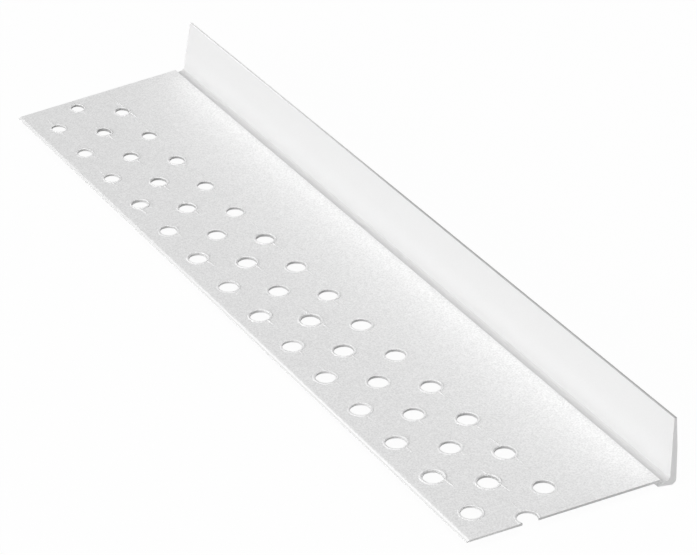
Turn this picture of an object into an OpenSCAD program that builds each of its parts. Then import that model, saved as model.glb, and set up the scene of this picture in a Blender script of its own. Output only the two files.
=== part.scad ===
// Short sample of a perforated L-shaped board trim, one moulded piece.
// X runs across the flange, Y along the sample, Z up. The wall stands at +X and
// the flange's free edge is at -X. The near cut end is at -Y. Sizes in millimetres.

/* [Section] */
// Width across the flange, free edge to the wall's outer face
leg_w = 32.8; // [25:0.1:60]
// Height of the wall, bottom of the nose to the top edge
wall_h = 11; // [8:0.1:40]
// Thickness of the wall at its foot
wall_foot_t = 1.05; // [0.95:0.05:1.5]
// Thickness of the wall half way up
wall_mid_t = 0.82; // [0.7:0.02:1.3]
// Thickness of the wall at its top edge
wall_top_t = 0.4; // [0.3:0.05:1]
// Drop of the wall's top edge from its inner to its outer side
wall_top_drop = 0.1; // [0:0.01:0.3]
// Thickness of the flange beside the nose
flange_root_t = 0.4; // [0.35:0.05:1.2]
// Thickness of the flange at its free edge
flange_edge_t = 0.3; // [0.26:0.02:0.8]
// Width of the bevel along the flange's free edge
edge_bevel_w = 0.45; // [0.2:0.05:1.5]
// Depth of the bevel along the flange's free edge
edge_bevel_h = 0.2; // [0.05:0.01:0.22]

/* [Nose] */
// Drop of the nose below the flange's underside
nose_drop = 1.05; // [0.95:0.05:2]
// Width of the nose, outer face to where it meets the flange's underside
nose_w = 3.6; // [3.4:0.1:6]
// Outer face to the knee in the nose's underside
nose_knee_x = 2.96; // [2.2:0.02:3.2]
// Height of that knee above the nose's lowest line
nose_knee_z = 0.35; // [0.2:0.05:0.45]
// Radius of the nose's outer corner
nose_r = 0.8; // [0.4:0.05:0.9]
// Outer face to the lip of the groove inside the corner
groove_lip_x = 2.65; // [2.3:0.05:3.2]
// Run of the steep lip side of the groove
groove_lip_run = 0.1; // [0.05:0.05:0.3]
// Depth of the groove below the flange's top, at the foot of its lip
groove_lip_d = 0.75; // [0.3:0.05:0.8]
// Depth of the groove below the flange's top, at the bevel beside the wall
groove_d = 0.5; // [0.3:0.05:0.8]
// Size of the small bevel between the groove's floor and the wall
groove_bevel = 0.35; // [0.1:0.05:0.4]

/* [Length and cut ends] */
// Length of the sample along the foot of the wall
sample_l = 139.9; // [100:0.1:400]
// Angle out of square of the near cut across the flange, free edge shorter
near_skew = 2.5; // [0:0.5:8]
// Angle out of square of the far cut across the flange, free edge shorter
far_skew = 4; // [0:0.5:8]
// Angle out of square of the far cut up the wall, top edge shorter
far_rake = 16; // [0:0.5:20]

/* [Punched holes] */
// Distance between holes along each column
hole_pitch = 9.525; // [8:0.005:20]
// Distance between neighbouring columns
column_gap = 5.8; // [4:0.1:12]
// Free edge to the centre line of the outer column
edge_margin = 4; // [3:0.1:10]
// Diameter of each hole
hole_d = 3; // [2:0.1:5]
// Near end, at the wall, to the first holes of the outer and inner columns
near_margin = 6.6; // [2:0.1:9]
// Clearance that a whole hole keeps from the far end
far_web = 1; // [0.5:0.1:4]

/* [Hidden] */
overlap = 1;
arc_steps = 10;
hole_fn = 48;
column_count = 3;
flange_top = nose_drop + flange_root_t;
outer_x = leg_w / 2;
near_y = -sample_l / 2;
far_y = sample_l / 2;
wall_mid_z = (flange_top + wall_h) / 2;
groove_floor_z = flange_top - groove_d;
hole_r = hole_d / 2;

// A section point, given from the wall's outer face inward, turned into X
function in_x(from_outer) = outer_x - from_outer;

// Rounded outer corner of the nose, from the wall's outer face to the lowest line
nose_arc = [
  for (k = [0 : arc_steps])
    let (a = 90 * k / arc_steps)
      [in_x(nose_r * (1 - cos(a))), nose_r * (1 - sin(a))]
];

// X of the centre line of a hole column, counted from the free edge
function column_x(c) = -outer_x + edge_margin + c * column_gap;

// Y of the far cut where a hole column meets it, at the flange's top
function far_edge_y(c) = far_y - (outer_x - column_x(c)) * tan(far_skew)
  - flange_top * tan(far_rake) / cos(far_skew);

// Y of a hole: the middle column sits half a pitch nearer the near end
function hole_y(c, i) =
  near_y + near_margin + i * hole_pitch - (c % 2) * hole_pitch / 2;

// Number of the last hole of a column that keeps its web to the far end
function last_hole(c) =
  floor((far_edge_y(c) - hole_r - far_web - hole_y(c, 0)) / hole_pitch);

// Cross-section in X and Z: the nose, the flange, the groove, which is deepest at
// its lip, and the wall, whose inner face is square to the flange and whose outer
// face draws in to the top
module section() {
  polygon(concat(nose_arc, [
    [in_x(nose_knee_x), nose_knee_z],
    [in_x(nose_w), nose_drop],
    [-outer_x, flange_top - flange_edge_t],
    [-outer_x, flange_top - edge_bevel_h],
    [-outer_x + edge_bevel_w, flange_top],
    [in_x(groove_lip_x), flange_top],
    [in_x(groove_lip_x - groove_lip_run), flange_top - groove_lip_d],
    [in_x(wall_foot_t + groove_bevel), groove_floor_z],
    [in_x(wall_foot_t), groove_floor_z + groove_bevel],
    [in_x(wall_foot_t), wall_h],
    [in_x(wall_foot_t - wall_top_t), wall_h - wall_top_drop],
    [in_x(wall_foot_t - wall_mid_t), wall_mid_z]
  ]));
}

// The section drawn out along Y, from the near end to the far end
module strip() {
  translate([0, far_y, 0])
    rotate([90, 0, 0])
      linear_extrude(height = sample_l) section();
}

// Block beyond the far cut plane, which turns back along the flange and up the wall
module far_cut() {
  translate([outer_x, far_y, 0])
    rotate([far_rake, 0, far_skew])
      translate([-leg_w * 2, 0, -wall_h])
        cube([leg_w * 3, leg_w, wall_h * 3]);
}

// Block beyond the near cut plane, which turns back along the flange
module near_cut() {
  translate([outer_x, near_y, 0])
    rotate([0, 0, -near_skew])
      translate([-leg_w * 2, -leg_w, -wall_h])
        cube([leg_w * 3, leg_w, wall_h * 3]);
}

// One upright punch through the flange
module punch(x, y) {
  translate([x, y, 0])
    cylinder(h = flange_top + overlap, r = hole_r, $fn = hole_fn);
}

// All punches: the middle column's first one is cut through by the near end
module punches() {
  for (c = [0 : column_count - 1])
    for (i = [0 : last_hole(c)])
      punch(column_x(c), hole_y(c, i));
}

// The whole trim: one piece of white rigid plastic
module l_trim() {
  color([0.93, 0.93, 0.93])
    difference() {
      strip();
      far_cut();
      near_cut();
      punches();
    }
}

l_trim();
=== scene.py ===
"""Looks of a short, hand-cut sample of perforated L-shaped board trim in white rigid PVC.

The trim is one extruded piece. Its section is drawn with small rounded corners, and one Geometry
Nodes tree draws it out, raises the burrs round its holes, cuts its two ends and punches it.
"""

import logging
import math
from collections.abc import Callable
from dataclasses import dataclass, field
from enum import Enum
from functools import partial
from typing import Any

import bpy
from bpy.types import (
    Camera, Light, Material, Mesh, Node, NodeOutputs, NodeSocket, NodeTree, Object, World
)
from mathutils import Euler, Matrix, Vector


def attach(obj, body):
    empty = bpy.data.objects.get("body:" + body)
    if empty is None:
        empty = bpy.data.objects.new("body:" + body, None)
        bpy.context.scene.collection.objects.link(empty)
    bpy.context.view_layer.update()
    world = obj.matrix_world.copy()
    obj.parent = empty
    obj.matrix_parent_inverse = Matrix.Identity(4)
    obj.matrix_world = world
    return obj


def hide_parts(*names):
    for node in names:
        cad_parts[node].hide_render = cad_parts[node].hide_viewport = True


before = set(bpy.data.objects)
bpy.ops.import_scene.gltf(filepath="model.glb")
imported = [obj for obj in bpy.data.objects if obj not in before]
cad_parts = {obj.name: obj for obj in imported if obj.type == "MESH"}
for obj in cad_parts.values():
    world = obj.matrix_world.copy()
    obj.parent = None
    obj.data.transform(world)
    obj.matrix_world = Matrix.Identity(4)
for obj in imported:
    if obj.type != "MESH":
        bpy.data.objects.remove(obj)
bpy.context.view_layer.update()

MM = 0.001
QUARTER_TURN = Euler((math.pi / 2, 0.0, 0.0))
MATH = "ShaderNodeMath"
LOG = logging.getLogger("l_trim_looks")

Triple = tuple[float, float, float]
Source = Node | NodeSocket
Adder = Callable[..., Node]


class Axis(Enum):
    """The trim's axes: across the flange, along the sample and up the wall."""

    ACROSS = "X"
    ALONG = "Y"
    UP = "Z"


class End(Enum):
    """The sample's two ends, each with its place from the middle as a share of the length."""

    NEAR = -0.5
    FAR = 0.5


class Stop(Enum):
    """The kinds of value that a tree's named input can hold."""

    NUMBER = "NodeSocketFloat"
    COUNT = "NodeSocketInt"
    VECTOR = "NodeSocketVector"
    FINISH = "NodeSocketMaterial"


def linear(hex_colour: str) -> tuple[float, float, float, float]:
    """Turns an sRGB hex colour into the linear colour that a shader takes.

    Args:
        hex_colour: The colour, as a hash mark and six hex digits.

    Returns:
        Red, green, blue and an alpha of 1.
    """
    channels = [int(hex_colour[i : i + 2], 16) / 255 for i in (1, 3, 5)]
    red, green, blue = (c / 12.92 if c <= 0.04045 else ((c + 0.055) / 1.055) ** 2.4 for c in channels)
    return (red, green, blue, 1.0)


def add_node(
    tree: NodeTree, kind: str, inputs: dict[int | str, Any] | None = None, **settings: Any
) -> Node:
    """Adds a node to a tree, with what goes into its sockets and its settings.

    Args:
        tree: The shader or geometry tree.
        kind: The node's type name.
        inputs: What each input socket gets, by name or number: a value, a socket to link from, a
            node, whose first output is linked, or a list of sockets and nodes.
        **settings: The node's own properties and their values.

    Returns:
        The new node.
    """
    node = tree.nodes.new(kind)
    for name, value in settings.items():
        setattr(node, name, value)
    for key, value in (inputs or {}).items():
        for source in value if isinstance(value, list) else [value]:
            if isinstance(source, Node):
                source = source.outputs[0]
            if isinstance(source, NodeSocket):
                tree.links.new(source, node.inputs[key])
            else:
                node.inputs[key].default_value = source
    return node


def cleared_tree(owner: Material | World) -> NodeTree:
    """Gives a material or a world a node tree of its own.

    Args:
        owner: The material or world.

    Returns:
        The tree, still empty.
    """
    owner.use_nodes = True
    owner.node_tree.nodes.clear()
    return owner.node_tree


def add_object(name: str, data: Mesh | Light | Camera) -> Object:
    """Adds an object to the scene.

    Args:
        name: The object's name.
        data: Its mesh, light or camera.

    Returns:
        The new object.
    """
    added = bpy.data.objects.new(name, data)
    bpy.context.scene.collection.objects.link(added)
    return added


@dataclass(frozen=True)
class Corner:
    """One corner of the section.

    Attributes:
        x: Place across the flange, in millimetres.
        z: Height, in millimetres.
        radius: Radius that the corner is rounded to, in millimetres.
    """

    x: float
    z: float
    radius: float

    @property
    def place(self) -> Vector:
        """The corner as a flat vector."""
        return Vector((self.x, self.z))


def rounded(corners: list[Corner], step: float) -> list[Vector]:
    """Turns an outline of corners into points, with each corner an arc.

    Args:
        corners: The outline's corners, in order round it.
        step: The largest turn from one point of an arc to the next, in radians.

    Returns:
        The outline's points, in millimetres.
    """
    points: list[Vector] = []
    for before, here, after in zip(corners[-1:] + corners[:-1], corners, corners[1:] + corners[:1]):
        back = (before.place - here.place).normalized()
        ahead = (after.place - here.place).normalized()
        half = back.angle(ahead) / 2
        start = here.place + back * here.radius / math.tan(half)
        centre = here.place + (back + ahead).normalized() * here.radius / math.sin(half)
        arm = start - centre
        turn = math.copysign(math.pi - 2 * half, -back.cross(ahead))
        steps = max(1, math.ceil(abs(turn) / step))
        for k in range(steps + 1):
            cos, sin = math.cos(turn * k / steps), math.sin(turn * k / steps)
            points.append(centre + Vector((arm.x * cos - arm.y * sin, arm.x * sin + arm.y * cos)))
    return points


@dataclass(frozen=True)
class TrimSizes:
    """The trim's driving sizes, in millimetres and degrees, as in the part's own source."""

    # Section
    leg_w: float = 32.8
    wall_h: float = 11.0
    wall_foot_t: float = 1.05
    wall_mid_t: float = 0.82
    wall_top_t: float = 0.4
    wall_top_drop: float = 0.1
    flange_root_t: float = 0.4
    flange_edge_t: float = 0.3
    edge_bevel_w: float = 0.45
    edge_bevel_h: float = 0.2

    # Nose and groove
    nose_drop: float = 1.05
    nose_w: float = 3.6
    nose_knee_x: float = 2.96
    nose_knee_z: float = 0.35
    nose_r: float = 0.8
    groove_lip_x: float = 2.65
    groove_lip_run: float = 0.1
    groove_lip_d: float = 0.75
    groove_d: float = 0.5
    groove_bevel: float = 0.35

    # Length and cut ends
    sample_l: float = 139.9
    near_skew: float = 2.5
    far_skew: float = 4.0
    far_rake: float = 16.0

    # Punched holes
    column_count: int = 3
    hole_pitch: float = 9.525
    column_gap: float = 5.8
    edge_margin: float = 4.0
    hole_d: float = 3.0
    near_margin: float = 6.6
    far_web: float = 1.0

    @property
    def outer_x(self) -> float:
        """X of the wall's outer face at its foot."""
        return self.leg_w / 2

    @property
    def inner_x(self) -> float:
        """X of the wall's inner face."""
        return self.outer_x - self.wall_foot_t

    @property
    def lip_x(self) -> float:
        """X of the groove's lip, where the flange's upper face ends."""
        return self.outer_x - self.groove_lip_x

    @property
    def flange_top(self) -> float:
        """Height of the flange's upper face."""
        return self.nose_drop + self.flange_root_t

    @property
    def first_hole(self) -> Vector:
        """Centre of the outer column's first hole, at the flange's upper face."""
        near_y = -self.sample_l / 2
        return Vector((self.edge_margin - self.outer_x, near_y + self.near_margin, self.flange_top))

    @property
    def far_limit(self) -> float:
        """Y past which no hole may have its centre.

        Returns:
            That Y, measured at the wall's outer face.
        """
        rake = self.flange_top * math.tan(math.radians(self.far_rake))
        far_edge = self.sample_l / 2 - rake / math.cos(math.radians(self.far_skew))
        return far_edge - self.hole_d / 2 - self.far_web


@dataclass(frozen=True)
class Fade:
    """A share that changes evenly between two places on the trim.

    Attributes:
        axis: The axis that it changes along.
        start: Where it starts to change, in millimetres.
        end: Where it has changed, in millimetres.
        first: The share up to the start.
        last: The share from the end on.
    """

    axis: Axis
    start: float
    end: float
    first: float
    last: float

    def inputs(self, at: NodeOutputs) -> dict[str, Any]:
        """Gives what a Map Range node takes for this fade.

        Args:
            at: Sockets that hold the X, Y and Z of a spot on the trim.

        Returns:
            What each of the node's input sockets gets.
        """
        return {
            "Value": at[self.axis.value],
            "From Min": self.start * MM,
            "From Max": self.end * MM,
            "To Min": self.first,
            "To Max": self.last,
        }


@dataclass(frozen=True)
class Grain:
    """An uneven pattern that runs in no direction.

    Attributes:
        size: Width of its patches, in millimetres.
        detail: How many finer patterns lie in it.
        none: The pattern's value that counts as none.
        full: The pattern's value that counts as all.
    """

    size: float
    detail: float
    none: float
    full: float

    def inputs(self, place: Source) -> dict[str, Any]:
        """Gives what a Noise Texture node takes for this grain at a place."""
        return {"Vector": place, "Scale": 1 / (self.size * MM), "Detail": self.detail}

    def range_inputs(self, pattern: Source) -> dict[str, Any]:
        """Gives what a Map Range node takes to turn the pattern into a share from none to all."""
        return {"Value": pattern, "From Min": self.none, "From Max": self.full}


@dataclass(frozen=True)
class Spread:
    """How far something differs from one hole to the next, along X, Y and Z.

    Attributes:
        least: The least that a hole gets.
        most: The most that a hole gets.
    """

    least: Triple
    most: Triple

    def inputs(self, seed: Source) -> dict[str, Any]:
        """Gives what a Random Value node takes for this spread."""
        return {"Min": self.least, "Max": self.most, "Seed": seed}


@dataclass(frozen=True)
class ExtrudedMattePvc:
    """White rigid PVC, extruded through a die and left matte.

    It gives the eye a clean white with no sharp reflection: a broad soft sheen, a fine dense speckle
    on the flange and a smoother, more even wall. Its colour also holds painted light and shade, which
    plain studio light alone does not show on a white part: painted shade as thin greys along the
    wall's top edge, in the groove, on the flange's cut edges and hole walls and along the free edge's
    outermost line, and painted light as less grey on the wall's foot and top, on the end faces past
    the flange and on the free edge's bevel, a painted highlight there.

    Attributes:
        sizes: The trim's driving sizes, which the greys follow.
        name: The material's name.
        body_hex: The plastic's own white.
        shade_hex: The soft grey of the speckle and the wall; less of it lays painted light.
        edge_hex: The grey of the painted shade along edges, cuts and the groove.
        roughness: Roughness of the matte surface.
        ior: Index of refraction of rigid PVC.
        speckle: The flange's speckle. The real one is finer, and this one is drawn as coarse as it
            needs to be to show.
        speckle_roughness: How strong the finer patterns in the speckle are.
        speckle_h: Height of the speckle's relief, in millimetres.
        relief: Strength of that relief.
        wall_speckle: Share of the speckle that is left on the wall.
        margin: How far a zone ends short of the corner that it follows, in millimetres.
        facing_limit: Part of a face's normal along an axis, below which the face lies along it.
        wall_shade: The wall's share of the soft grey, less towards its foot: painted light there.
        bevel_shade: What the free edge's bevel keeps of the soft grey, a painted highlight where it is
            low.
        bevel_side: Where that painted highlight gives way to the flange's whole share.
        rim_h: Height of the painted shade line along the wall's top edge, in millimetres.
        rim_share: Strength of that painted shade, which fades out towards the far end.
        groove_floor: Height above which the groove has painted shade, in millimetres.
        groove_share: Strength of the groove's painted shade, from the foot of its lip up.
        cut_share: Strength of the painted shade on the flange's cut edges and hole walls.
        cut_end: Where it ends beside the nose.
        cut_gain: How much it gains towards the far end.
        brim_w: Width of the free edge's outermost line of painted shade, in millimetres.
        brim_share: Strength of that painted shade, for all that the bevel loses of the soft grey.
    """

    sizes: TrimSizes
    name: str = "white_extruded_rigid_pvc"
    body_hex: str = "#F9F9F9"
    # The speckle's grey; less of it paints light on the wall's foot and top, the end faces and the bevel
    shade_hex: str = "#DEDEDE"
    # The grey of all the painted shade: wall's top edge, groove, cuts and the free edge's outer line
    edge_hex: str = "#C2C2C2"
    roughness: float = 0.5
    ior: float = 1.53
    speckle: Grain = Grain(0.22, 2.0, 0.3, 0.7)
    speckle_roughness: float = 0.6
    speckle_h: float = 0.02
    relief: float = 0.5
    wall_speckle: float = 0.1
    margin: float = 0.05
    facing_limit: float = 0.5
    # Painted light: less of the soft grey towards the wall's foot lifts the lower wall
    wall_shade: Fade = Fade(Axis.UP, 1.2, 6.0, 0.35, 0.6)
    # Painted highlight: the bevel keeps less of the soft grey towards the near end
    bevel_shade: Fade = Fade(Axis.ALONG, -10.0, 30.0, 0.2, 1.0)
    bevel_side: Fade = Fade(Axis.ACROSS, -16.05, -15.6, 0.0, 1.0)
    rim_h: float = 0.14
    # Painted shade: a grey line along the wall's top edge, fading out towards the far end
    rim_share: Fade = Fade(Axis.ALONG, 0.0, 40.0, 1.0, 0.0)
    groove_floor: float = 0.64
    # Painted shade in the groove, strongest at the foot of its lip
    groove_share: Fade = Fade(Axis.UP, 0.74, 0.95, 0.7, 0.2)
    # Painted shade on the flange's cut edges and hole walls, more towards the far end
    cut_share: Fade = Fade(Axis.ACROSS, -11.0, -8.5, 0.15, 0.62)
    cut_end: Fade = Fade(Axis.ACROSS, 10.5, 13.6, 1.0, 0.0)
    cut_gain: Fade = Fade(Axis.ALONG, 0.0, 50.0, 0.0, 0.35)
    brim_w: float = 0.2
    # Painted shade along the free edge's outermost line, where the bevel has its painted highlight
    brim_share: float = 0.38

    def make(self) -> Material:
        """Builds the material on Object coordinates.

        Returns:
            The new material.
        """
        material = bpy.data.materials.new(self.name)
        add = partial(add_node, cleared_tree(material))
        place = add("ShaderNodeTexCoord").outputs["Object"]
        spot = self.read_spot(add, place)
        height = add(MATH, {0: spot["speckle"], 1: spot["amount"]}, operation="MULTIPLY")
        relief = add(
            "ShaderNodeBump", {"Strength": self.relief, "Distance": self.speckle_h * MM, "Height": height}
        )
        shader = add(
            "ShaderNodeBsdfPrincipled",
            {
                "Base Color": self.colour(add, spot),
                "Roughness": self.roughness,
                "IOR": self.ior,
                "Normal": relief,
            },
        )
        add("ShaderNodeOutputMaterial", {"Surface": shader})
        return material

    def read_spot(self, add: Adder, place: NodeSocket) -> dict[str, Node]:
        """Works out what the colour and the relief need to know of a spot on the trim.

        Args:
            add: What adds a node to the shader tree.
            place: The spot's Object coordinates.

        Returns:
            The speckle's pattern, the amount of it, each fade's share under its own name, and each
            zone, which is 1 inside it and 0 outside.
        """
        s = self.sizes
        at = add("ShaderNodeSeparateXYZ", {0: place}).outputs
        normal = add("ShaderNodeNewGeometry").outputs["True Normal"]
        facing = add("ShaderNodeSeparateXYZ", {0: normal}).outputs
        endways, upwards = (
            add(MATH, {0: facing[axis.value]}, operation="ABSOLUTE") for axis in (Axis.ALONG, Axis.UP)
        )
        zones = {
            "flange": (at["X"], "LESS_THAN", (s.lip_x - self.margin) * MM),
            "past_lip": (at["X"], "GREATER_THAN", (s.lip_x - self.margin) * MM),
            "before_wall": (at["X"], "LESS_THAN", (s.inner_x - self.margin) * MM),
            "brim": (at["X"], "LESS_THAN", (self.brim_w - s.outer_x) * MM),
            "rim": (at["Z"], "GREATER_THAN", (s.wall_h - self.rim_h) * MM),
            "below_rim": (at["Z"], "LESS_THAN", (s.wall_h - self.rim_h) * MM),
            "above_nose": (at["Z"], "GREATER_THAN", self.groove_floor * MM),
            "off_ends": (endways, "LESS_THAN", self.facing_limit),
            "upright": (upwards, "LESS_THAN", self.facing_limit),
        }
        spot = {
            name: add(MATH, {0: value, 1: limit}, operation=test)
            for name, (value, test, limit) in zones.items()
        }
        # Each fade's share under its own name; most of them lay painted light or painted shade
        for name, fade in vars(self).items():
            if isinstance(fade, Fade):
                spot[name] = add("ShaderNodeMapRange", fade.inputs(at))
        grain = {**self.speckle.inputs(place), "Roughness": self.speckle_roughness}
        spot["speckle"] = add("ShaderNodeTexNoise", grain)
        spot["amount"] = add("ShaderNodeMapRange", {"Value": spot["flange"], "To Min": self.wall_speckle})
        return spot

    def colour(self, add: Adder, spot: dict[str, Node]) -> NodeSocket:
        """Lays the soft grey and the painted shade's grey over the plastic's own white.

        Args:
            add: What adds a node to the shader tree.
            spot: What is known of the spot.

        Returns:
            The finished colour.
        """
        colour = linear(self.body_hex)
        soft, strong = self.soft_greys(add, spot), self.edge_greys(add, spot)
        for grey_hex, parts in ((self.shade_hex, soft), (self.edge_hex, strong)):
            share = 0.0
            for part, *factors in parts:
                for factor in factors:
                    part = add(MATH, {0: part, 1: factor}, operation="MULTIPLY")
                share = add(MATH, {0: share, 1: part}, operation="ADD", use_clamp=True)
            colour = add(
                "ShaderNodeMix", {0: share, 6: colour, 7: linear(grey_hex)}, data_type="RGBA"
            ).outputs[2]
        return colour

    def soft_greys(self, add: Adder, spot: dict[str, Node]) -> list[list[Source]]:
        """Works out the soft grey: speckle on the flange, and painted light on the wall, ends and bevel.

        Args:
            add: What adds a node to the shader tree.
            spot: What is known of the spot.

        Returns:
            One list of factors, whose product is this grey's share.
        """
        grain = add("ShaderNodeMapRange", self.speckle.range_inputs(spot["speckle"]))
        # Painted light: the end faces past the flange get none of this grey, and the wall's foot less
        plain = add(MATH, {0: spot["wall_shade"], 1: spot["off_ends"]}, operation="MULTIPLY")
        shade = add("ShaderNodeMix", {0: spot["amount"], 2: plain, 3: grain}, data_type="FLOAT")
        # Painted highlight: the free edge's bevel keeps less of the grey
        bevel = {0: spot["bevel_side"], 2: spot["bevel_shade"], 3: 1.0}
        inward = add("ShaderNodeMix", bevel, data_type="FLOAT")
        # Painted light: the wall's top edge gets none of the soft grey
        return [[shade, inward, spot["below_rim"]]]

    def edge_greys(self, add: Adder, spot: dict[str, Node]) -> list[list[Source | float]]:
        """Works out where the painted shade, the stronger grey, lies.

        Args:
            add: What adds a node to the shader tree.
            spot: What is known of the spot.

        Returns:
            A list of factors each for the wall's top edge, the groove, the flange's cuts and its free
            edge, whose product is the painted shade's share there.
        """
        # Painted shade on the flange's cut edges and hole walls
        cut = add(MATH, {0: spot["cut_share"], 1: spot["cut_gain"]}, operation="ADD")
        # The outermost line's painted shade follows the bevel's painted highlight
        bright = add(MATH, {0: 1.0, 1: spot["bevel_shade"]}, operation="SUBTRACT")
        # Painted shade in the groove
        groove = ("above_nose", "past_lip", "before_wall", "off_ends", "groove_share")
        return [
            # Painted shade along the wall's top edge
            [spot["rim"], spot["rim_share"]],
            [spot[name] for name in groove],
            [spot["upright"], spot["cut_end"], cut],
            [spot["brim"], bright, self.brim_share],
        ]


@dataclass
class PunchedTrim:
    """The whole trim: one extruded and punched piece.

    Its sizes are in millimetres, and its tilts and turns from hole to hole in radians.

    Attributes:
        sizes: The driving sizes that the frame's part has too.
        finish: The plastic that it is made of.
        name: The piece's name.
        node: The frame's node that it replaces.
        body: The body that it rides on.
        slot: The material slot of its plastic; not used.
        edge_r: Radius of the section's crisp corners.
        bevel_r: Radius where the free edge's bevel meets the flange's upper face.
        nose_corner_r: Radius of the nose's other corners.
        wall_bend_r: Radius of the slight bend half way up the wall's outer face.
        arc_step: Largest turn between two points of a rounded corner, in degrees.
        die_line_x: Inner column's centre line to the line that the die left beside it.
        die_line_w: Width of the die line.
        die_line_h: Height of the die line.
        die_line_r: Radius of the die line's corners.
        weld: Distance within which points of the drawn-out strip are one point.
        smooth_w: Widest face that is shaded smooth. The faces of the arcs are narrower.
        crisp_turn: Turn between two faces from which their edge is shaded crisp, in degrees.
        hole_points: Points round a hole.
        punch_l: Length of a punch, half of it below the flange's upper face.
        hole_grain: Unevenness round a hole.
        hole_ragged: Depth of that unevenness.
        far_hole_scale: Scale of a hole at the very far end, across and along.
        far_holes_y: Y from which the holes get smaller towards the far end.
        burr_r: Radius of the raised bead round a hole.
        burr_h: Height of the bead above the flange.
        burr_points: Points round the bead.
        burr_tilt: Tilt of the bead.
        burr_scale: Scale of the bead.
        skirt_t: Thickness of the skirt that hangs below a hole.
        skirt_top: Flange's upper face to the skirt's top.
        skirt_h: Height of the skirt.
        skirt_tilt: Tilt of the skirt.
        skirt_scale: Scale of the skirt.
        drag_l: Length of the ridge that a punch dragged up along the sample.
        drag_w: Greatest width of the ridge.
        drag_h: Greatest height of the ridge.
        drag_points: Points round and along the ridge.
        drag_shift: Hole's centre to the ridge's middle, in metres.
        drag_turn: Turn of the ridge away from the sample's length.
        drag_scale: Scale of the ridge.
        block_shares: Sides of a cut block as shares of the flange's width, that width again and the
            wall's height.
        block_points: Points across and up the face of a cut block.
        block_face: Distance from that face's plane within which a point belongs to the face.
        cut_grain: Unevenness of the two cut ends.
        ragged: Depth of that unevenness.
        seed: Seed of everything random.
        add: What adds a node to the tree that makes the trim.
        given: The tree's named inputs.
        holes: The tree's points at the holes' centres.
    """

    sizes: TrimSizes
    finish: ExtrudedMattePvc
    name: str = "punched_pvc_trim"
    node: str = "l_trim"
    body: str = "root"
    slot: str = "white_pvc"

    # Section
    edge_r: float = 0.06
    bevel_r: float = 0.15
    nose_corner_r: float = 0.3
    wall_bend_r: float = 20.0
    arc_step: float = 18.0
    die_line_x: float = 0.65
    die_line_w: float = 0.16
    die_line_h: float = 0.02
    die_line_r: float = 0.04
    weld: float = 0.001
    smooth_w: float = 0.25
    crisp_turn: float = 30.0

    # Holes
    hole_points: int = 64
    punch_l: float = 4.0
    hole_grain: Grain = Grain(1.2, 3.0, 0.45, 0.7)
    hole_ragged: float = 0.07
    far_hole_scale: tuple[float, float] = (0.68, 0.8)
    far_holes_y: float = 0.0

    # What a punch pushed up, down and along
    burr_r: float = 0.19
    burr_h: float = 0.11
    burr_points: int = 12
    burr_tilt: Spread = Spread((-0.02, -0.02, 0.0), (0.02, 0.02, 0.0))
    burr_scale: Spread = Spread((0.97, 0.97, 0.5), (1.03, 1.03, 1.3))
    skirt_t: float = 0.12
    skirt_top: float = 0.15
    skirt_h: float = 0.26
    skirt_tilt: Spread = Spread((-0.06, -0.06, 0.0), (0.06, 0.06, 0.0))
    skirt_scale: Spread = Spread((1.0, 1.0, 0.1), (1.0, 1.0, 1.05))
    drag_l: float = 6.0
    drag_w: float = 0.3
    drag_h: float = 0.09
    drag_points: tuple[int, int] = (16, 24)
    drag_shift: Spread = Spread((-0.6 * MM, -1.8 * MM, 0.0), (1.1 * MM, 0.6 * MM, 0.0))
    drag_turn: Spread = Spread((0.0, 0.0, -0.06), (0.0, 0.0, 0.12))
    drag_scale: Spread = Spread((0.5, 0.5, 0.2), (1.2, 1.3, 1.3))

    # Cut ends
    block_shares: Triple = (2.4, 1.0, 3.0)
    block_points: tuple[int, int] = (200, 90)
    block_face: float = 0.1
    cut_grain: Grain = Grain(1.5, 4.0, 0.2, 0.8)
    ragged: float = 0.05

    seed: int = 7
    add: Adder = field(init=False)
    given: NodeOutputs = field(init=False)
    holes: Node = field(init=False)

    def corners(self) -> list[Corner]:
        """Lists the section's corners, anticlockwise as the near end shows it from -Y.

        Returns:
            The corners, in millimetres.
        """
        s = self.sizes
        top = s.flange_top
        floor = top - s.groove_d
        line_x = s.first_hole.x + (s.column_count - 1) * s.column_gap + self.die_line_x
        return [
            Corner(s.outer_x - s.nose_r, 0.0, self.nose_corner_r),
            Corner(s.outer_x, 0.0, s.nose_r - self.edge_r),
            Corner(s.inner_x + s.wall_mid_t, (top + s.wall_h) / 2, self.wall_bend_r),
            Corner(s.inner_x + s.wall_top_t, s.wall_h - s.wall_top_drop, self.edge_r),
            Corner(s.inner_x, s.wall_h, self.edge_r),
            Corner(s.inner_x, floor + s.groove_bevel, self.edge_r),
            Corner(s.inner_x - s.groove_bevel, floor, self.edge_r),
            Corner(s.lip_x + s.groove_lip_run, top - s.groove_lip_d, self.edge_r),
            Corner(s.lip_x, top, self.edge_r),
            Corner(line_x + self.die_line_w / 2, top, self.die_line_r),
            Corner(line_x, top + self.die_line_h, self.die_line_r),
            Corner(line_x - self.die_line_w / 2, top, self.die_line_r),
            Corner(s.edge_bevel_w - s.outer_x, top, self.bevel_r),
            Corner(-s.outer_x, top - s.edge_bevel_h, self.edge_r),
            Corner(-s.outer_x, top - s.flange_edge_t, self.edge_r),
            Corner(s.outer_x - s.nose_w, s.nose_drop, self.nose_corner_r),
            Corner(s.outer_x - s.nose_knee_x, s.nose_knee_z, self.nose_corner_r),
        ]

    def section(self) -> Mesh:
        """Draws the section as one flat face, with its height along Y.

        Returns:
            The mesh that the tree draws out.
        """
        points = rounded(self.corners(), math.radians(self.arc_step))
        mesh = bpy.data.meshes.new(self.name + "_section")
        mesh.from_pydata([(p.x * MM, p.y * MM, 0.0) for p in points], [], [range(len(points))])
        return mesh

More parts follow.
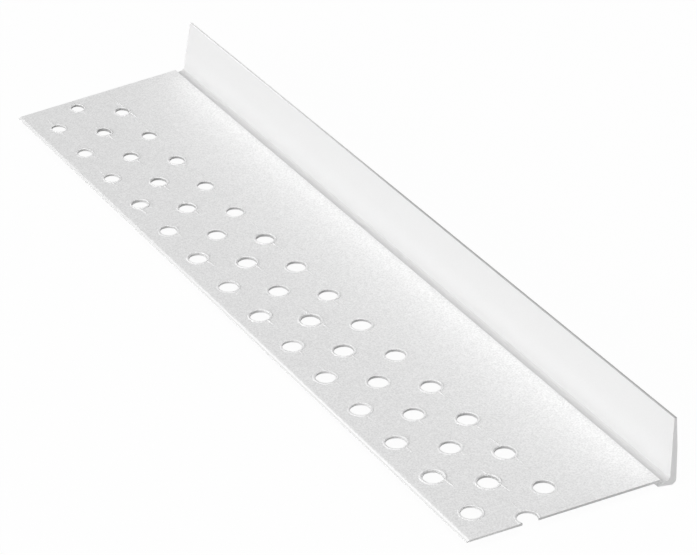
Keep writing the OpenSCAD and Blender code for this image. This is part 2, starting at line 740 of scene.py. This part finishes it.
    def stops(self) -> dict[str, tuple[Stop, Any]]:
        """Lists the tree's named inputs.

        Returns:
            The kind and the value of each input, in metres and radians.
        """
        s = self.sizes
        rows = math.ceil(s.sample_l / s.hole_pitch)
        sides = zip((s.leg_w, s.leg_w, s.wall_h), self.block_shares)
        lengths = {
            "Length": s.sample_l,
            "Weld distance": self.weld,
            "Widest smooth strip": self.smooth_w,
            "Hole pitch": s.hole_pitch,
            "Column gap": s.column_gap,
            "Hole radius": s.hole_d / 2,
            "Outer face": s.outer_x,
            "Far limit": s.far_limit,
            "Punch length": self.punch_l,
            "Hole unevenness": self.hole_ragged,
            "Far holes start": self.far_holes_y,
            "Burr radius": self.burr_r,
            "Burr height": self.burr_h,
            "Skirt thickness": self.skirt_t,
            "Skirt top": self.skirt_top,
            "Skirt height": self.skirt_h,
            "Drag length": self.drag_l,
            "Drag width": self.drag_w,
            "Drag height": self.drag_h,
            "Cut face": self.block_face,
            "Ragged": self.ragged,
        }
        counts = {
            "Short lengths": 2 * rows + 1,
            "Rows": rows + 1,
            "Columns": s.column_count,
            "Hole points": self.hole_points,
            "Seed": self.seed,
        }
        return {
            **{name: (Stop.NUMBER, length * MM) for name, length in lengths.items()},
            **{name: (Stop.COUNT, count) for name, count in counts.items()},
            "Crisp turn": (Stop.NUMBER, math.radians(self.crisp_turn)),
            "Far slope": (Stop.NUMBER, math.tan(math.radians(s.far_skew))),
            "First hole": (Stop.VECTOR, s.first_hole * MM),
            "Far hole scale": (Stop.VECTOR, (*self.far_hole_scale, 1.0)),
            "Cut block": (Stop.VECTOR, Vector([side * share for side, share in sides]) * MM),
            # How each end's cut block is turned, under the end's own name
            End.NEAR.name: (Stop.VECTOR, (0.0, 0.0, math.pi - math.radians(s.near_skew))),
            End.FAR.name: (Stop.VECTOR, (math.radians(s.far_rake), 0.0, math.radians(s.far_skew))),
            "Finish": (Stop.FINISH, self.finish.make()),
        }

    def build_tree(self, stops: dict[str, tuple[Stop, Any]]) -> NodeTree:
        """Builds the tree that draws the section out, raises the burrs, cuts the ends and punches.

        Args:
            stops: The tree's named inputs.

        Returns:
            The new tree.
        """
        tree = bpy.data.node_groups.new(self.name + "_maker", "GeometryNodeTree")
        tree.interface.new_socket("Geometry", in_out="OUTPUT", socket_type="NodeSocketGeometry")
        tree.interface.new_socket("Section", in_out="INPUT", socket_type="NodeSocketGeometry")
        for name, (kind, _) in stops.items():
            tree.interface.new_socket(name, in_out="INPUT", socket_type=kind.value)
        add = self.add = partial(add_node, tree)
        self.given = add("NodeGroupInput").outputs
        self.holes = self.hole_centres()
        added = [self.strip(), self.burrs(), self.skirts(), self.drag_marks()]
        taken = [self.punches(), *(self.cut_block(end) for end in End)]
        raised = add("GeometryNodeMeshBoolean", {"Mesh 2": added}, operation="UNION", solver="MANIFOLD")
        cut = add(
            "GeometryNodeMeshBoolean",
            {"Mesh 1": raised, "Mesh 2": taken},
            operation="DIFFERENCE",
            solver="MANIFOLD",
        )
        bend = add("GeometryNodeInputMeshEdgeAngle")
        crisp = add(MATH, {0: bend, 1: self.given["Crisp turn"]}, operation="GREATER_THAN")
        edged = add(
            "GeometryNodeSetShadeSmooth",
            {"Geometry": cut, "Selection": crisp, "Shade Smooth": False},
            domain="EDGE",
        )
        real = add("GeometryNodeRealizeInstances", {0: edged})
        dressed = add("GeometryNodeSetMaterial", {"Geometry": real, "Material": self.given["Finish"]})
        add("NodeGroupOutput", {0: dressed})
        return tree

    def strip(self) -> Node:
        """Draws the section out along the sample, in short lengths, and stands it up.

        Returns:
            The closed strip, with only its narrow faces shaded smooth.
        """
        add, given = self.add, self.given
        step = add(MATH, {0: given["Length"], 1: given["Short lengths"]}, operation="DIVIDE")
        drawn = add(
            "GeometryNodeExtrudeMesh",
            {"Mesh": given["Section"], "Offset": (0.0, 0.0, 1.0), "Offset Scale": step},
            mode="EDGES",
        )
        flat = add("FunctionNodeBooleanMath", {0: drawn.outputs["Side"]}, operation="NOT")
        sides = add(
            "GeometryNodeDeleteGeometry",
            {"Geometry": drawn, "Selection": flat},
            domain="FACE",
            mode="ONLY_FACE",
        )
        outward = add("GeometryNodeFlipFaces", {0: sides})
        stride = add("ShaderNodeCombineXYZ", {"Z": step})
        starts = add("GeometryNodeMeshLine", {"Count": given["Short lengths"], "Offset": stride})
        tube = self.set_on(starts, outward)
        near_face = add("GeometryNodeFlipFaces", {0: given["Section"]})
        reach = add("ShaderNodeCombineXYZ", {"Z": given["Length"]})
        far_face = add("GeometryNodeTransform", {"Geometry": given["Section"], "Translation": reach})
        whole = add("GeometryNodeJoinGeometry", {0: [tube, near_face, far_face]})
        welded = add(
            "GeometryNodeMergeByDistance", {"Geometry": whole, "Distance": given["Weld distance"]}
        )
        half = add(MATH, {0: given["Length"], 1: 0.5}, operation="MULTIPLY")
        middle = add("ShaderNodeCombineXYZ", {"Y": half})
        upright = add(
            "GeometryNodeTransform", {"Geometry": welded, "Translation": middle, "Rotation": QUARTER_TURN}
        )
        area = add("GeometryNodeInputMeshFaceArea")
        most = add(MATH, {0: step, 1: given["Widest smooth strip"]}, operation="MULTIPLY")
        narrow = add(MATH, {0: area, 1: most}, operation="LESS_THAN")
        return add("GeometryNodeSetShadeSmooth", {"Geometry": upright, "Shade Smooth": narrow})

    def hole_centres(self) -> Node:
        """Places a point at each hole's centre: the middle column sits half a pitch nearer the near end.

        Returns:
            The points at the flange's upper face.
        """
        add, given = self.add, self.given
        columns = given["Columns"]
        count = add(MATH, {0: given["Rows"], 1: columns}, operation="MULTIPLY")
        points = add("GeometryNodePoints", {"Count": count})
        index = add("GeometryNodeInputIndex")
        column = add(MATH, {0: index, 1: columns}, operation="FLOORED_MODULO")
        share = add(MATH, {0: index, 1: columns}, operation="DIVIDE")
        row = add(MATH, {0: share}, operation="FLOOR")
        middle = add(MATH, {0: column, 1: 2}, operation="FLOORED_MODULO")
        along = add(MATH, {0: middle, 1: -0.5, 2: row}, operation="MULTIPLY_ADD")
        cell = add("ShaderNodeCombineXYZ", {"X": column, "Y": along})
        spacing = add("ShaderNodeCombineXYZ", {"X": given["Column gap"], "Y": given["Hole pitch"]})
        place = add(
            "ShaderNodeVectorMath", {0: cell, 1: spacing, 2: given["First hole"]}, operation="MULTIPLY_ADD"
        )
        placed = add("GeometryNodeSetPosition", {"Geometry": points, "Position": place})
        position = add("GeometryNodeInputPosition")
        here = add("ShaderNodeSeparateXYZ", {0: position}).outputs
        inward = add(MATH, {0: here["X"], 1: given["Outer face"]}, operation="SUBTRACT")
        limit = add(
            MATH, {0: inward, 1: given["Far slope"], 2: given["Far limit"]}, operation="MULTIPLY_ADD"
        )
        past = add(MATH, {0: here["Y"], 1: limit}, operation="GREATER_THAN")
        return add("GeometryNodeDeleteGeometry", {"Geometry": placed, "Selection": past}, domain="POINT")

    def hole_scale(self, size: Source | Triple = (1.0, 1.0, 1.0)) -> Node:
        """Scales what belongs to a hole: the holes get a little smaller towards the far end.

        Args:
            size: The scale that the thing has near the near end.

        Returns:
            The scale at each hole's centre.
        """
        add, given = self.add, self.given
        position = add("GeometryNodeInputPosition")
        here = add("ShaderNodeSeparateXYZ", {0: position}).outputs
        half = add(MATH, {0: given["Length"], 1: 0.5}, operation="MULTIPLY")
        less = add(
            "ShaderNodeMapRange",
            {"Value": here["Y"], "From Min": given["Far holes start"], "From Max": half},
        )
        flat = add(
            "ShaderNodeMix", {0: less, 4: (1.0, 1.0, 1.0), 5: given["Far hole scale"]}, data_type="VECTOR"
        )
        return add("ShaderNodeVectorMath", {0: flat.outputs[1], 1: size}, operation="MULTIPLY")

    def set_on(self, points: Source, shape: Source, **inputs: Source) -> Node:
        """Sets a copy of a shape on each point.

        Args:
            points: The points.
            shape: The shape.
            **inputs: The copies' scale and rotation, where they have their own.

        Returns:
            The copies, made real.
        """
        placing = {"Points": points, "Instance": shape, **inputs}
        copies = self.add("GeometryNodeInstanceOnPoints", placing)
        return self.add("GeometryNodeRealizeInstances", {0: copies})

    def punches(self) -> Node:
        """Stands an upright punch on each hole's centre, a little uneven round it.

        Returns:
            The punches.
        """
        add, given = self.add, self.given
        round_tool = {"Vertices": given["Hole points"], "Radius": given["Hole radius"]}
        punch = add("GeometryNodeMeshCylinder", {**round_tool, "Depth": given["Punch length"]})
        upright = self.set_on(self.holes, punch, Scale=self.hole_scale())
        here = add("GeometryNodeInputPosition")
        grain = add(
            "ShaderNodeTexNoise",
            {**self.hole_grain.inputs(here), "W": given["Seed"]},
            noise_dimensions="4D",
        )
        depth = add(
            "ShaderNodeMapRange",
            {**self.hole_grain.range_inputs(grain), "To Max": given["Hole unevenness"]},
        )
        inward = add(MATH, {0: depth, 1: -1.0}, operation="MULTIPLY")
        normal = add("GeometryNodeInputNormal")
        level = add("ShaderNodeVectorMath", {0: normal, 1: (1.0, 1.0, 0.0)}, operation="MULTIPLY")
        outward = add("ShaderNodeVectorMath", {0: level}, operation="NORMALIZE")
        offset = add("ShaderNodeVectorMath", {0: outward, "Scale": inward}, operation="SCALE")
        return add("GeometryNodeSetPosition", {"Geometry": upright, "Offset": offset})

    def burrs(self) -> Node:
        """Raises a low round bead round each hole, a little tilted, which the punch then cuts into.

        Returns:
            The beads.
        """
        add, given = self.add, self.given
        seed = given["Seed"]
        crest = add(MATH, {0: given["Hole radius"], 1: given["Burr radius"]}, operation="ADD")
        path = add(
            "GeometryNodeCurvePrimitiveCircle", {"Resolution": given["Hole points"], "Radius": crest}
        )
        bead = add(
            "GeometryNodeCurvePrimitiveCircle",
            {"Resolution": self.burr_points, "Radius": given["Burr radius"]},
        )
        ring = add("GeometryNodeCurveToMesh", {"Curve": path, "Profile Curve": bead})
        smooth = add("GeometryNodeSetShadeSmooth", {0: ring, "Shade Smooth": True})
        sink = add(MATH, {0: given["Burr height"], 1: given["Burr radius"]}, operation="SUBTRACT")
        down = add("ShaderNodeCombineXYZ", {"Z": sink})
        sunk = add("GeometryNodeTransform", {"Geometry": smooth, "Translation": down})
        tilt, size = (
            add("FunctionNodeRandomValue", spread.inputs(seed), data_type="FLOAT_VECTOR")
            for spread in (self.burr_tilt, self.burr_scale)
        )
        return self.set_on(self.holes, sunk, Rotation=tilt, Scale=self.hole_scale(size))

    def skirts(self) -> Node:
        """Hangs a thin skirt below each hole, a little tilted, where the punch pushed the plastic down.

        Returns:
            The skirts, still filled where the punches go through.
        """
        add, given = self.add, self.given
        seed = given["Seed"]
        radius = add(MATH, {0: given["Hole radius"], 1: given["Skirt thickness"]}, operation="ADD")
        skirt = add(
            "GeometryNodeMeshCylinder",
            {"Vertices": given["Hole points"], "Radius": radius, "Depth": given["Skirt height"]},
        )
        middle = add(
            MATH, {0: given["Skirt height"], 1: 0.5, 2: given["Skirt top"]}, operation="MULTIPLY_ADD"
        )
        lower = add(MATH, {0: middle, 1: -1.0}, operation="MULTIPLY")
        down = add("ShaderNodeCombineXYZ", {"Z": lower})
        hung = add("GeometryNodeTransform", {"Geometry": skirt, "Translation": down})
        tilt, size = (
            add("FunctionNodeRandomValue", spread.inputs(seed), data_type="FLOAT_VECTOR")
            for spread in (self.skirt_tilt, self.skirt_scale)
        )
        return self.set_on(self.holes, hung, Rotation=tilt, Scale=self.hole_scale(size))

    def drag_marks(self) -> Node:
        """Lays a thin spindle-shaped ridge through each hole, along the sample.

        Returns:
            The ridges.
        """
        add, given = self.add, self.given
        seed = given["Seed"]
        around, lengthwise = self.drag_points
        ball = add("GeometryNodeMeshUVSphere", {"Segments": around, "Rings": lengthwise, "Radius": 0.5})
        laid = add("GeometryNodeTransform", {"Geometry": ball, "Rotation": QUARTER_TURN})
        tall = add(MATH, {0: given["Drag height"], 1: 2.0}, operation="MULTIPLY")
        spindle = add(
            "ShaderNodeCombineXYZ", {"X": given["Drag width"], "Y": given["Drag length"], "Z": tall}
        )
        ridge = add("GeometryNodeTransform", {"Geometry": laid, "Scale": spindle})
        shift, turn, size = (
            add("FunctionNodeRandomValue", spread.inputs(seed), data_type="FLOAT_VECTOR")
            for spread in (self.drag_shift, self.drag_turn, self.drag_scale)
        )
        middles = add("GeometryNodeSetPosition", {"Geometry": self.holes, "Offset": shift})
        return self.set_on(middles, ridge, Rotation=turn, Scale=size)

    def cut_block(self, end: End) -> Node:
        """Stands a block past one end of the sample, with a slightly uneven face towards it.

        Args:
            end: The end that it cuts.

        Returns:
            The block.
        """
        add, given = self.add, self.given
        across, up = self.block_points
        block = add(
            "GeometryNodeMeshCube", {"Size": given["Cut block"], "Vertices X": across, "Vertices Z": up}
        )
        size = add("ShaderNodeSeparateXYZ", {0: given["Cut block"]}).outputs
        reach = add(MATH, {0: size["Y"], 1: 0.5}, operation="MULTIPLY")
        shift = add("ShaderNodeCombineXYZ", {"Y": reach})
        moved = add("GeometryNodeTransform", {"Geometry": block, "Translation": shift})
        position = add("GeometryNodeInputPosition")
        here = add("ShaderNodeSeparateXYZ", {0: position}).outputs
        facing = add(MATH, {0: here["Y"], 1: given["Cut face"]}, operation="LESS_THAN")
        grain = add(
            "ShaderNodeTexNoise",
            {**self.cut_grain.inputs(position), "W": given["Seed"]},
            noise_dimensions="4D",
        )
        shake = add(
            "ShaderNodeMapRange", {**self.cut_grain.range_inputs(grain), "To Max": given["Ragged"]}
        )
        inward = add(MATH, {0: shake, 1: -1.0}, operation="MULTIPLY")
        offset = add("ShaderNodeCombineXYZ", {"Y": inward})
        uneven = add("GeometryNodeSetPosition", {"Geometry": moved, "Selection": facing, "Offset": offset})
        y = add(MATH, {0: given["Length"], 1: end.value}, operation="MULTIPLY")
        pivot = add("ShaderNodeCombineXYZ", {"X": given["Outer face"], "Y": y})
        return add(
            "GeometryNodeTransform",
            {"Geometry": uneven, "Translation": pivot, "Rotation": given[end.name]},
        )

    def build(self) -> Object:
        """Builds the piece, turns the tree's result into a plain mesh and gives it to the frame.

        Returns:
            The finished piece.
        """
        stops = self.stops()
        tree = self.build_tree(stops)
        draft = add_object(self.name + "_draft", self.section())
        maker = draft.modifiers.new("maker", "NODES")
        maker.node_group = tree
        for item in tree.interface.items_tree:
            if item.in_out == "INPUT" and item.name in stops:
                maker[item.identifier] = stops[item.name][1]
        graph = bpy.context.evaluated_depsgraph_get()
        mesh = bpy.data.meshes.new_from_object(draft.evaluated_get(graph), depsgraph=graph)
        mesh.name = self.name
        bpy.data.objects.remove(draft)
        piece = add_object(self.name, mesh)
        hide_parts(self.node)
        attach(piece, self.body)
        return piece


@dataclass(frozen=True)
class PaleStudioFloor:
    """A plain white floor that the camera sees as white, with the object's shadow left on it.

    Attributes:
        name: The material's name.
        matt_hex: Its own white, which takes the shadow.
        own_glow: Share of what the camera sees of it that is even white, without shadow.
    """

    name: str = "plain_white_floor"
    matt_hex: str = "#E8E8E8"
    own_glow: float = 0.97

    def make(self) -> Material:
        """Builds the floor's material.

        Returns:
            The new material.
        """
        material = bpy.data.materials.new(self.name)
        tree = cleared_tree(material)
        path = add_node(tree, "ShaderNodeLightPath").outputs
        seen = path["Is Camera Ray"]
        for ray in ("Is Glossy Ray", "Is Transmission Ray"):
            seen = add_node(tree, MATH, {0: seen, 1: path[ray]}, operation="MAXIMUM")
        share = add_node(tree, MATH, {0: seen, 1: self.own_glow}, operation="MULTIPLY")
        matt = add_node(tree, "ShaderNodeBsdfDiffuse", {"Color": linear(self.matt_hex)})
        glow = add_node(tree, "ShaderNodeEmission", {"Strength": 1.0})
        mixed = add_node(tree, "ShaderNodeMixShader", {0: share, 1: matt, 2: glow})
        add_node(tree, "ShaderNodeOutputMaterial", {"Surface": mixed})
        return material


@dataclass(frozen=True)
class SoftLamp:
    """A square soft lamp that looks at the trim.

    Attributes:
        name: What the lamp does.
        place: Where it stands, in metres.
        side: Length of its side, in metres.
        power: Its power, in watts.
    """

    name: str
    place: Triple
    side: float
    power: float

    def make(self) -> None:
        """Builds the lamp and turns it to the trim."""
        light = bpy.data.lights.new(self.name, "AREA")
        light.energy = self.power
        light.size = self.side
        lamp = add_object(self.name, light)
        lamp.location = self.place
        lamp.rotation_euler = (-Vector(self.place)).to_track_quat("-Z", "Y").to_euler()


@dataclass
class Studio:
    """The plain pale studio: floor, surroundings, soft lamps and the camera.

    Attributes:
        floor: The floor's finish.
        floor_side: Length of the floor's side, in metres.
        sky: Strength of the even light from all around.
        lamps: The soft lamps.
        camera_place: The camera's place, in millimetres.
        camera_turn: The camera's turn about X, Y and Z, in degrees.
        camera_lens: The lens, in millimetres.
        camera_sensor: The sensor's width, in millimetres.
        camera_clip: The nearest distance that the camera shows, in metres.
    """

    floor: PaleStudioFloor = field(default_factory=PaleStudioFloor)
    floor_side: float = 20.0
    sky: float = 0.115
    lamps: tuple[SoftLamp, ...] = (
        SoftLamp("low_left_key", (-0.940, 0.0, 0.342), 0.6, 6.8),
        SoftLamp("overhead", (0.0, 0.0, 1.0), 0.6, 5.6),
        SoftLamp("front_fill", (0.0, -0.940, 0.342), 0.6, 1.3),
    )
    camera_place: Triple = (-196.6, -338.15, 237.1)
    camera_turn: Triple = (58.887, -0.370, -30.752)
    camera_lens: float = 157.6
    camera_sensor: float = 36.0
    camera_clip: float = 0.01

    def build(self) -> None:
        """Builds the floor, the surroundings, the lamps and the camera."""
        bpy.context.scene.view_settings.view_transform = "Standard"
        self.lay_floor()
        self.surround()
        for lamp in self.lamps:
            lamp.make()
        self.set_camera()

    def lay_floor(self) -> None:
        """Lays the floor at the level of the nose's lowest line."""
        half = self.floor_side / 2
        corners = [(-half, -half, 0), (half, -half, 0), (half, half, 0), (-half, half, 0)]
        mesh = bpy.data.meshes.new("floor")
        mesh.from_pydata(corners, [], [range(len(corners))])
        mesh.materials.append(self.floor.make())
        add_object("floor", mesh)

    def surround(self) -> None:
        """Lights the scene evenly from all around, and shows the camera plain white there."""
        world = bpy.data.worlds.new("even_studio")
        tree = cleared_tree(world)
        path = add_node(tree, "ShaderNodeLightPath").outputs
        seen = path["Is Camera Ray"]
        strength = add_node(tree, "ShaderNodeMapRange", {"Value": seen, "To Min": self.sky})
        white = (1.0, 1.0, 1.0, 1.0)
        glow = add_node(tree, "ShaderNodeBackground", {"Color": white, "Strength": strength})
        add_node(tree, "ShaderNodeOutputWorld", {"Surface": glow})
        bpy.context.scene.world = world

    def set_camera(self) -> None:
        """Sets the camera where the photograph was taken from."""
        view = bpy.data.cameras.new("camera")
        view.lens = self.camera_lens
        view.sensor_width = self.camera_sensor
        view.clip_start = self.camera_clip
        camera = add_object("camera", view)
        camera.location = Vector(self.camera_place) * MM
        camera.rotation_euler = Euler([math.radians(turn) for turn in self.camera_turn])
        bpy.context.scene.camera = camera


def main() -> None:
    """Builds the trim and the studio round it, and reports the piece."""
    logging.basicConfig(level=logging.INFO)
    sizes = TrimSizes()
    trim = PunchedTrim(sizes, ExtrudedMattePvc(sizes)).build()
    LOG.info("%s: %d faces", trim.name, len(trim.data.polygons))
    Studio().build()


if __name__ == "__main__":
    main()
